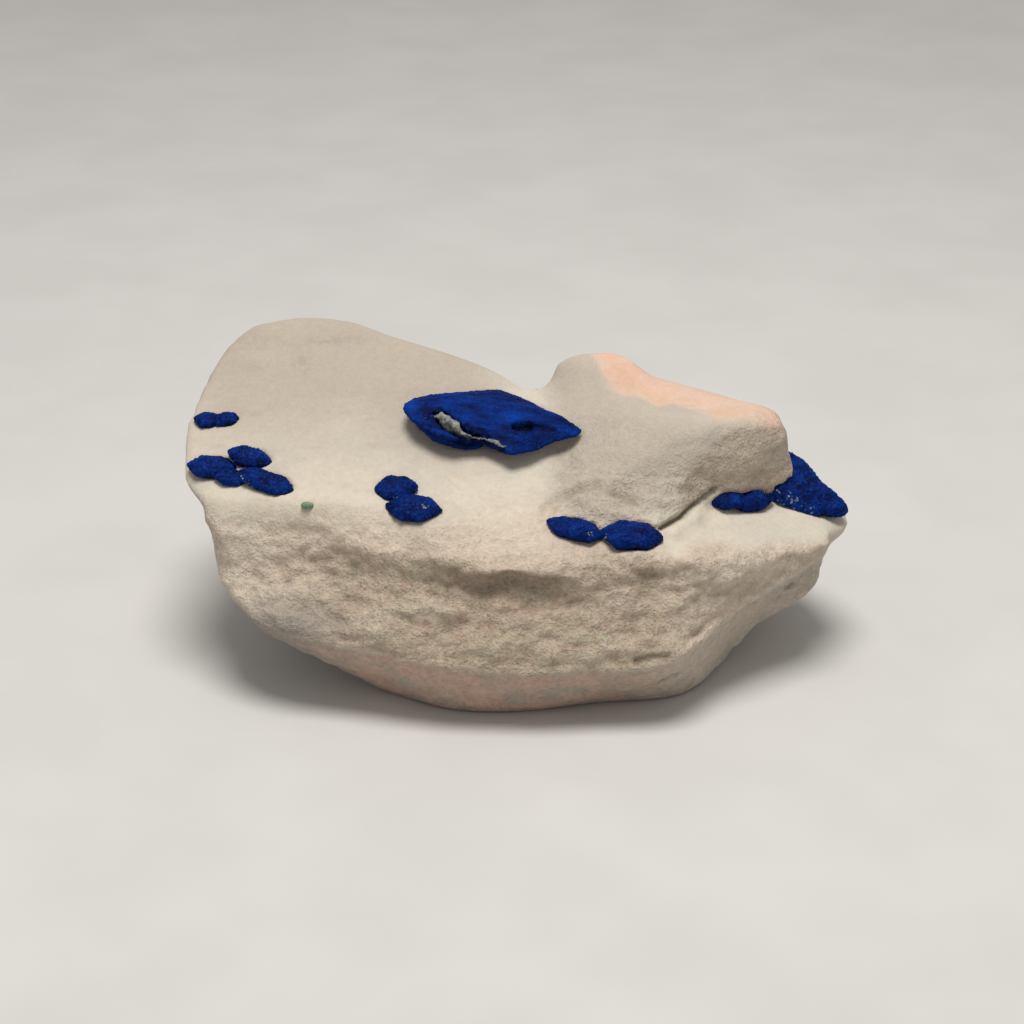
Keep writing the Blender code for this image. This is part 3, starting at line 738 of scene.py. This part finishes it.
# The next colour is partly grime and partly painted shade, for the flank and the hill top.
DUSK = (0.412, 0.349, 0.286, 1)
PINK = (0.69, 0.43, 0.32, 1)
ROSE = (0.54, 0.37, 0.29, 1)
GREY = (0.31, 0.266, 0.225, 1)
GREENISH = (0.28, 0.30, 0.27, 1)
SHADE = (0.15, 0.11, 0.08, 1)
STREAK = (0.48, 0.39, 0.32, 1)
SMUDGE = (0.30, 0.26, 0.23, 1)
DARK_CRUMB = (0.10, 0.12, 0.13, 1)
# The colour of the painted shade in small pits.
PIT = (0.22, 0.155, 0.11, 1)
SAND_SIZE = 0.62


# %% Make the claystone finish
def clay_stains(place, colour):
    """Lays each stain over the clay's own colour, with the grime, the painted shade and the painted
    highlight.
    """
    streaks = speckle(millimetres((9, 9, 1.2)), 1.0, 3, 0.6)
    colour = mix((1 - mask("rough")) * streaks.fade(0.5, 0.75) * 0.36, colour, STREAK)
    # Darker clay on the flank and the hill top: partly grime, partly painted shade.
    colour = mix(mask("dusk") * 0.8, colour, DUSK)
    colour = mix(mask("smudge") * speckle(place, 1.6, 3).fade(0.40, 0.62) * 0.45, colour, SMUDGE)
    colour = mix(mask("pink") * speckle(place, 5, 4).fade(0.0, 0.5) * 0.95, colour, PINK)
    colour = mix(mask("tan") * speckle(place, 4, 3).fade(0.3, 0.6) * 0.7, colour, TAN)
    colour = mix(mask("belly") * 0.7 + mask("ends") * 0.95, colour, GREY)
    patches = speckle(millimetres((1.7, 1.7, 1)), 6, 4, 0.6).fade(0.36, 0.58)
    colour = mix(mask("belly") * patches * 0.85, colour, ROSE)
    crumbly = mix(speckle(place, 1.1, 3).fade(0.36, 0.6), DARK_CRUMB, GREENISH)
    colour = mix(mask("tongue") * 0.95, colour, crumbly)
    # Painted shade in the hollows, and a painted highlight on the tips of the crumbs.
    colour = mix(mask("hollow") * 0.35, colour, SHADE)
    colour = mix(mask("tip") * 0.35, colour, WARM)
    # Painted shade in the crack and the scars.
    return mix(mask("crack") * 0.95, colour, SHADE)


def broken_clay(place, colour, rough, brown):
    """The sandier, browner clay of the broken faces, with rosy and olive tints in it; on the upper bed's
    turned face and along the foot step the browning is painted shade.
    """
    colour = mix(mask("sandy") * 0.6, colour, SAND)
    colour = mix(brown * 0.75, colour, CRUMB)
    rosy = speckle(place, 3.6, 4, 0.65).fade(0.50, 0.62)
    colour = mix((brown * 0.55 + rough * 0.15) * rosy, colour, ROSY)
    olive = speckle(millimetres((1.6, 1.6, 1)), 4.5, 4, 0.65).fade(0.50, 0.62)
    return mix((brown * 0.42 + rough * 0.08) * olive, colour, OLIVE)


def claystone_finish():
    """Matt clay with its stains, its salt of grains, painted shade in its hollows and pits, and a painted
    highlight on its crumbs.
    """
    material = begin("dry_claystone")
    place = millimetres()
    rough, back, brown = mask("rough"), mask("back"), mask("brown")
    colour = mix(speckle(place, 16, 3).fade(0.35, 0.65), WARM, COOL)
    colour = broken_clay(place, colour, rough, brown)
    colour = clay_stains(place, colour)
    fine = speckle(place, 0.5, 3, 0.7)
    coarse = speckle(place, 1.4, 4, 0.65)
    broad = speckle(place, 3.2, 3)
    sand = cells(place, SAND_SIZE)
    tint = cells(place, SAND_SIZE, 1)
    coat = rough * 0.34 + brown * 0.2 + back * 0.4 + mask("under") * 0.45 + 0.2
    salt = (fine - 0.5) * 0.7 + (coarse - 0.5) * 1.1 + (broad - 0.5) * 0.35 + (tint - 0.5) * 0.3
    colour = mix(1.0, colour, grey(salt * coat + 1.0), "MULTIPLY")
    # Painted shade in small pits.
    pits = speckle(place, 1.3, 3).fade(0.62, 0.74) * (rough * 0.2 + brown * 0.5 + 0.05)
    colour = mix(pits, colour, PIT)
    relief = bump(coarse * (rough + mask("under") * 0.5 + 0.15), 0.8)
    relief = bump((fine * 0.8 - sand * 0.7) * coat, 0.3, relief)
    finish(Base_Color=colour, Roughness=0.94 - fine * 0.06, Normal=relief)
    return material


block.data.materials.append(claystone_finish())
print("claystone finish:", len(block.data.materials[0].node_tree.nodes), "nodes")

# %% [markdown]
# ## The crust of a sun
# Each sun is a lens of azurite blades that start at its middle and end at its rim, and the rounded
# ends of the blades make a crust like coarse velvet. `crust` raises that crust in the mesh: grains
# under a millimetre wide, and ribs that run outwards from the middle of the lens. `GROWTH` lets it
# reach the clay all round. Bits of pale clay still stick to a few of the suns; `CLAY_BITS` gives
# each one's place and its radius.

# %% Raise the crust
GROWTH = 0.28
SUN_VOXEL = 0.22
SUN_SMOOTHING = 5
GRAIN = 0.8
RIBS = 5
CLAY_BITS = [
    ((-59.7, -17.9, 46.3), 1.1), ((-57.9, -19.0, 45.9), 1.0), ((-19.8, -29.3, 45.8), 0.7),
    ((-26.4, -25.4, 46.0), 0.6), ((15.4, -32.6, 40.9), 0.6), ((18.5, -33.1, 40.2), 0.8),
    ((44.0, -15.6, 41.7), 0.9), ((57.5, -7.4, 38.5), 1.2), ((59.5, -8.2, 37.4), 1.5),
    ((61.8, -8.9, 36.2), 1.5), ((65.0, -9.3, 35.3), 1.0), ((55.0, -10.0, 40.0), 0.8),
]


def clay_bits(points):
    """1 where bits of clay still stick to the azurite."""
    broken = lumps(points, 1.5, 24) * 0.3
    bits = []
    for place, radius in CLAY_BITS:
        away = np.linalg.norm(points - np.array(place), axis=1)
        bits.append(fade(away / radius + broken, 1.3, 0.8))
    return np.maximum.reduce(bits)


def crust(piece, grain, ribs):
    """Raises grains and ribs on a sun, and paints where it is high (for painted shade and highlight), where
    clay sticks, and where painted glints may go.
    """
    mesh = piece.data
    points = points_of(mesh)
    middle = points.mean(axis=0)
    arms = points - middle
    angle = np.arctan2(arms[:, 1], arms[:, 0])
    reach = np.linalg.norm(arms, axis=1)
    round_it = np.column_stack([np.cos(angle) * ribs, np.sin(angle) * ribs, reach / 5 + arms[:, 2] / 2])
    height = lumps(round_it, 1, 20) * 0.16
    height += (0.5 - grains(points, grain, 21)) * 0.30 + lumps(points, grain * 0.6, 22) * 0.16
    height += lumps(points, 2.4, 23) * 0.2
    put_points(mesh, points + normals_of(mesh) * (GROWTH + height)[:, None])
    # The height is painted so that the finish can lay painted shade where the crust is low and a painted
    # highlight where it is high; every vertex is also marked for painted glints.
    paint(mesh, height=fade(height, -0.25, 0.33), chalk=clay_bits(points), glint=np.ones(len(points)))


SUN_NAMES = {
    "azurite_disc_right": "right_disc",
    "azurite_disc_crevice": "crevice_disc",
    "azurite_pair_ledge": "ledge_pair",
    "azurite_pair_front": "front_pair",
    "azurite_cluster_left": "left_cluster",
    "azurite_disc_left": "left_disc",
    "azurite_pair_upper_left": "upper_left_pair",
}
suns = {}
for node, name in SUN_NAMES.items():
    suns[name] = dense_copy(node, name, SUN_VOXEL, SUN_SMOOTHING)
    crust(suns[name], GRAIN, RIBS)
    stand_for(suns[name], node)

# %% [markdown]
# ## The large sun
# The large sun is worn smoother than the small ones, and fine grooves run along it. A short slit,
# painted black as shade, opens near its right end and tails off, with a painted highlight on the lip
# above it and another at the sun's left end. The lower edge of the split is a thin lip with painted
# shade too, and the crust is torn and set back beside the split, so that the clay in it shows. Each
# of these is a line on the sun, and the crust sinks near it.

# %% Make the large sun
SLIT = [(-0.6, -9.0, 55.0), (0.8, -8.1, 54.8), (2.4, -7.4, 54.3), (3.8, -7.0, 53.8)]
SLIT_TAIL = [(3.4, -7.5, 54.4), (5.8, -7.6, 54.0), (8.0, -7.8, 53.6)]
# Painted shade lies along this lip.
DARK_LIP = [(-10.0, -12.6, 52.9), (-7.2, -12.9, 52.9), (-5.2, -13.3, 52.3), (-3.2, -14.0, 51.9)]
# Painted highlights on these two spots.
BRIGHT_SPOTS = [((-0.6, -5.6, 56.0), (2.6, 2.0, 1.5)), ((-23.3, -3.8, 57.5), (1.6, 2.6, 1.2))]
ALONG_GROOVES = np.array([[0.98, 0, 0.17], [0, 1, 0], [-0.17, 0, 0.98]])
SLIT_DEPTH = 1.3
TAIL_SHARE = 0.28
LIP_DEPTH = 0.5
TORN_DEPTH = 0.45
LARGE_VOXEL = 0.2
LARGE_SMOOTHING = 9
large_sun = dense_copy("azurite_sun_large", "large_sun", LARGE_VOXEL, LARGE_SMOOTHING)


def slit_of(points):
    """1 in the slit, less in its tail, and 0 away from both."""
    narrowing = ((points[:, 0] - 1.4) / 3.0) ** 2 * 0.5
    slit = fade(from_line(points, SLIT) + narrowing + lumps(points, 1.5, 34) * 0.3, 1.5, 0.4)
    tail = fade(from_line(points, SLIT_TAIL), 0.9, 0.1) * TAIL_SHARE
    return np.maximum(slit, tail)


def large_crust(piece):
    """Raises grooves, grains and the torn edge, cuts the slit and the lip, and paints them as shade and two
    spots as highlight.
    """
    mesh = piece.data
    points = points_of(mesh)
    turned = points @ ALONG_GROOVES
    height = lumps(turned, (7, 2.2, 1.6), 30) * 0.30 + lumps(turned, (3, 0.8, 0.8), 33) * 0.10
    height += (0.5 - grains(points, 0.9, 31)) * 0.22 + lumps(points, 0.5, 32) * 0.10
    torn = fade(from_line(points, TONGUE), 3.0, 1.2)
    height += lumps(points, 1.1, 37, torn) * torn * 0.8
    slit = slit_of(points)
    lip = fade(from_line(points, DARK_LIP) + lumps(points, 1.2, 35) * 0.2, 0.9, 0.3)
    height -= slit * SLIT_DEPTH + lip * LIP_DEPTH + torn * TORN_DEPTH
    put_points(mesh, points + normals_of(mesh) * (GROWTH + height)[:, None])
    # A painted highlight on two spots; the painted tone also gets painted shade in the slit and along the
    # lip.
    bright = sum(dome(points, *spot) for spot in BRIGHT_SPOTS)
    shown = fade(height, -0.3, 0.35) * (1 - np.maximum(slit, lip))
    paint(mesh, height=shown, slit=slit, bright=bright)


large_crust(large_sun)
stand_for(large_sun, "azurite_sun_large")
suns["large_sun"] = large_sun

# %% [markdown]
# ## The seam of clay
# Right of the split, a thin seam of pale clay runs on along the front edge of the sun. It is made
# as a narrow string of crumbs: a ring of points is carried along a line on the sun's surface, half
# sunk in it, and noise breaks it up.

# %% Make the seam
SEAM = [
    (-8.7, -12.4, 54.0), (-7.2, -12.4, 53.8), (-5.4, -12.7, 53.3), (-4.0, -13.2, 52.9), (-2.4, -14.0, 52.4),
]
SEAM_WIDTH = (0.22, 0.14, 0.42, 0.50, 0.08)
SEAM_THICKNESS = 0.3
SEAM_HEADING = np.array([0.95, -0.15, -0.25])
SEAM_SAG = np.array([0.0, -0.1, 0.12])
SEAM_STATIONS = 70
SEAM_SPOKES = 12


def surface_of(piece):
    """A search tree over the piece's surface, in metres."""
    bm = bmesh.new()
    bm.from_mesh(piece.data)
    tree = BVHTree.FromBMesh(bm)
    bm.free()
    return tree


def seam_rings(tree):
    """Rings of points round a line that lies on the surface, in millimetres."""
    shares = np.linspace(0, 1, SEAM_STATIONS)
    steps = np.linspace(0, 1, len(SEAM))
    path = np.column_stack([np.interp(shares, steps, column) for column in np.array(SEAM).T])
    angles = np.arange(SEAM_SPOKES) * 2 * math.pi / SEAM_SPOKES
    rings = []
    for share, place in zip(shares, path):
        spot, normal = tree.find_nearest(Vector((place + SET_OUT) * MM))[:2]
        out = np.array(normal)
        across = np.cross(SEAM_HEADING, out)
        width = np.interp(share, steps, SEAM_WIDTH) * (1 + 0.5 * noise.noise(Vector(place) / 0.7))
        centre = np.array(spot) / MM - SET_OUT
        sideways = np.outer(np.cos(angles), across) * width
        rings.append(centre + sideways + np.outer(np.sin(angles), out) * SEAM_THICKNESS)
    return np.array(rings)


def seam_faces():
    """Quads from each ring to the next, and a cap on the first ring and on the last."""
    last = (SEAM_STATIONS - 1) * SEAM_SPOKES
    faces = []
    for row in range(0, last, SEAM_SPOKES):
        for k in range(SEAM_SPOKES):
            beside = (k + 1) % SEAM_SPOKES
            ahead = row + SEAM_SPOKES
            faces.append((row + k, ahead + k, ahead + beside, row + beside))
    faces.append(tuple(range(SEAM_SPOKES)))
    faces.append(tuple(reversed(range(last, last + SEAM_SPOKES))))
    return faces


def make_seam(tree):
    """The seam as a closed string of crumbs."""
    points = seam_rings(tree).reshape(-1, 3)
    points += lumps(points, 0.6, 36)[:, None] * SEAM_SAG
    mesh = bpy.data.meshes.new("clay_seam")
    mesh.from_pydata(((points + SET_OUT) * MM).tolist(), [], seam_faces())
    mesh.polygons.foreach_set("use_smooth", [True] * len(mesh.polygons))
    piece = bpy.data.objects.new("clay_seam", mesh)
    bpy.context.scene.collection.objects.link(piece)
    return piece


seam = make_seam(surface_of(large_sun))
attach(seam, "root")
report(seam)

# %% Make the seam's finish
SEAM_PALE = (0.27, 0.29, 0.26, 1)


def seam_finish():
    """Greenish grey crumbs."""
    material = begin("seam_clay")
    place = millimetres()
    fine = speckle(place, 0.4, 3, 0.7)
    colour = mix(fine.fade(0.35, 0.65), DARK_CRUMB, SEAM_PALE)
    finish(Base_Color=colour, Roughness=0.95 - fine * 0.05, Normal=bump(fine, 0.2))
    return material


seam.data.materials.append(seam_finish())

# %% [markdown]
# ## Azurite finish
# Azurite is a deep, slightly violet blue. The colour follows the height of the crust: a painted
# highlight on the tips of the blades, and painted shade, nearly black, between them. A velvet of
# tiny blades hardly shines, so the shader's specular level is low; a few painted sparkles and, on the
# small suns, a soft paler painted glint here and there stand in for its shine. The slit is painted
# black as shade, and where clay sticks to a sun it shows as scattered pale crumbs. One finish serves
# every sun, because a mask that a piece doesn't carry reads as 0.

# %% Make the azurite finish
# The darkest blue is painted shade between the blades, and the brightest a painted highlight on their tips.
DEEP = (0.001, 0.005, 0.04, 1)
BLUE = (0.001, 0.019, 0.155, 1)
BRIGHT = (0.001, 0.042, 0.30, 1)
CHALK = (0.36, 0.40, 0.44, 1)
# Colours of the painted sparkles and the painted glints.
SPARK = (0.30, 0.42, 0.62, 1)
GLINT = (0.07, 0.09, 0.30, 1)
# The painted shade of the slit.
SLIT_BLACK = (0.0, 0.001, 0.006, 1)


def azurite_finish():
    """Blue with painted shade and highlight that follow the height of the crust, painted sparkles and glints,
    painted shade in the slit, and clinging clay.
    """
    material = begin("azurite_crust")
    place = millimetres()
    fine = speckle(place, 0.35, 2, 0.6)
    # The tone carries painted light: painted shade where the crust is low, a painted highlight where it is
    # high.
    tone = mask("height") * 0.55 + speckle(place, 3.5, 3) * 0.5 + fine * 0.4
    colour = mix(tone.fade(0.35, 0.85), DEEP, BLUE)
    # A painted highlight on the highest tips and on the large sun's two spots.
    colour = mix(tone.fade(0.75, 1.15) * 0.8 + mask("bright") * 0.6, colour, BRIGHT)
    # Painted sparkles, and on the small suns soft painted glints.
    sparks = speckle(place, 0.5, 1).fade(0.76, 0.82) * 0.45
    colour = mix(sparks, colour, SPARK)
    glints = mask("glint") * speckle(place, 0.7, 3, 0.7).fade(0.56, 0.74) * 0.34
    colour = mix(glints, colour, GLINT)
    crumbs = cells(place, 0.75).fade(0.46, 0.24) * speckle(place, 1.2, 2).fade(0.42, 0.54)
    colour = mix(mask("chalk") * crumbs * 0.75, colour, CHALK)
    # Painted shade in the slit.
    colour = mix(mask("slit").fade(0.3, 1.0) * 0.85, colour, SLIT_BLACK)
    relief = bump(1 - cells(place, 0.5), 0.10)
    relief = bump(fine, 0.16, relief)
    finish(Base_Color=colour, Roughness=0.66 - fine * 0.2, Specular_IOR_Level=0.05, Normal=relief)
    return material


azurite = azurite_finish()
for sun in suns.values():
    sun.data.materials.append(azurite)
print("azurite finish on", len(suns), "pieces")

# %% [markdown]
# ## The green speck
# One small dome of malachite, the green partner of azurite, sits on the left hill. It forms from
# the same copper-bearing water. At this size a smooth dome with a mottled, dusty green is enough.

# %% Make the speck
SPECK_VOXEL = 0.12
SPECK_SMOOTHING = 3
MALACHITE_DARK = (0.10, 0.21, 0.13, 1)
MALACHITE_LIGHT = (0.22, 0.32, 0.22, 1)
speck = dense_copy("malachite_speck", "green_speck", SPECK_VOXEL, SPECK_SMOOTHING)
stand_for(speck, "malachite_speck")


def malachite_finish():
    """A dull, mottled green."""
    material = begin("malachite")
    place = millimetres()
    fine = speckle(place, 0.4, 2)
    colour = mix(fine.fade(0.3, 0.7), MALACHITE_DARK, MALACHITE_LIGHT)
    finish(Base_Color=colour, Roughness=0.85 - fine * 0.2, Normal=bump(fine, 0.15))
    return material


speck.data.materials.append(malachite_finish())

# %% [markdown]
# ## Floor, light and camera
# A plain pale floor and one broad soft light overhead, a little to the front, show the relief
# without hard shadows. Light from the whole room fills the shadows in. The camera has a long lens
# and looks down on the block by 26 degrees, which shows the top and the front about equally.

# %% Floor
FLOOR_DARKER = (0.60, 0.59, 0.57, 1)
FLOOR_LIGHTER = (0.63, 0.62, 0.60, 1)
FLOOR_SIZE = 6.0
FLOOR_DROP = 0.0002


def floor_finish():
    """Matt and nearly even."""
    material = begin("pale_floor")
    place = millimetres()
    colour = mix(speckle(place, 40, 2).fade(0.3, 0.7), FLOOR_DARKER, FLOOR_LIGHTER)
    finish(Base_Color=colour, Roughness=0.9)
    return material


bpy.ops.mesh.primitive_plane_add(size=FLOOR_SIZE, location=(0, 0, -FLOOR_DROP))
floor = bpy.context.object
floor.name = "pale_floor"
floor.data.materials.append(floor_finish())
floor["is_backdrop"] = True

# %% Lights
ROOM_LIGHT = 0.39
ROOM_COLOUR = (1.0, 0.985, 0.965, 1)
LAMP_COLOUR = (1.0, 0.975, 0.945)
AIM = Vector((0, 0, 0.03))


def soft_light(name, place, size, power, colour):
    """A round soft lamp that looks at the middle of the block."""
    light = bpy.data.lights.new(name, "AREA")
    light.shape = "DISK"
    light.size = size
    light.energy = power
    light.color = colour
    lamp = bpy.data.objects.new(name, light)
    bpy.context.scene.collection.objects.link(lamp)
    lamp.location = place
    lamp.rotation_euler = (AIM - Vector(place)).to_track_quat("-Z", "Y").to_euler()


soft_light("overhead", (0.0, -0.10, 0.85), 0.40, 6.1, LAMP_COLOUR)

world = bpy.data.worlds.new("room")
world.use_nodes = True
sky = world.node_tree.nodes["Background"]
sky.inputs["Color"].default_value = ROOM_COLOUR
sky.inputs["Strength"].default_value = ROOM_LIGHT
bpy.context.scene.world = world
bpy.context.scene.view_settings.view_transform = "Standard"

# %% Camera
CAMERA_PLACE = (-0.001225, -0.494272, 0.269794)
FROM_STRAIGHT_DOWN = 64
LONG_LENS = 85
camera = bpy.data.objects.new("camera", bpy.data.cameras.new("camera"))
camera.data.lens = LONG_LENS
camera.data.sensor_width = 36
camera.data.clip_start = 0.01
camera.location = CAMERA_PLACE
camera.rotation_euler = (math.radians(FROM_STRAIGHT_DOWN), 0, 0)
bpy.context.scene.collection.objects.link(camera)
bpy.context.scene.camera = camera

# %% [markdown]
# ## The dressed box
# The box round the dressed specimen is printed, in millimetres.

# %% Print the dressed box
dressed_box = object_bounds()
for side, low, high in zip("xyz", *dressed_box):
    print(f"{side}: {low / MM:.1f} to {high / MM:.1f} mm")
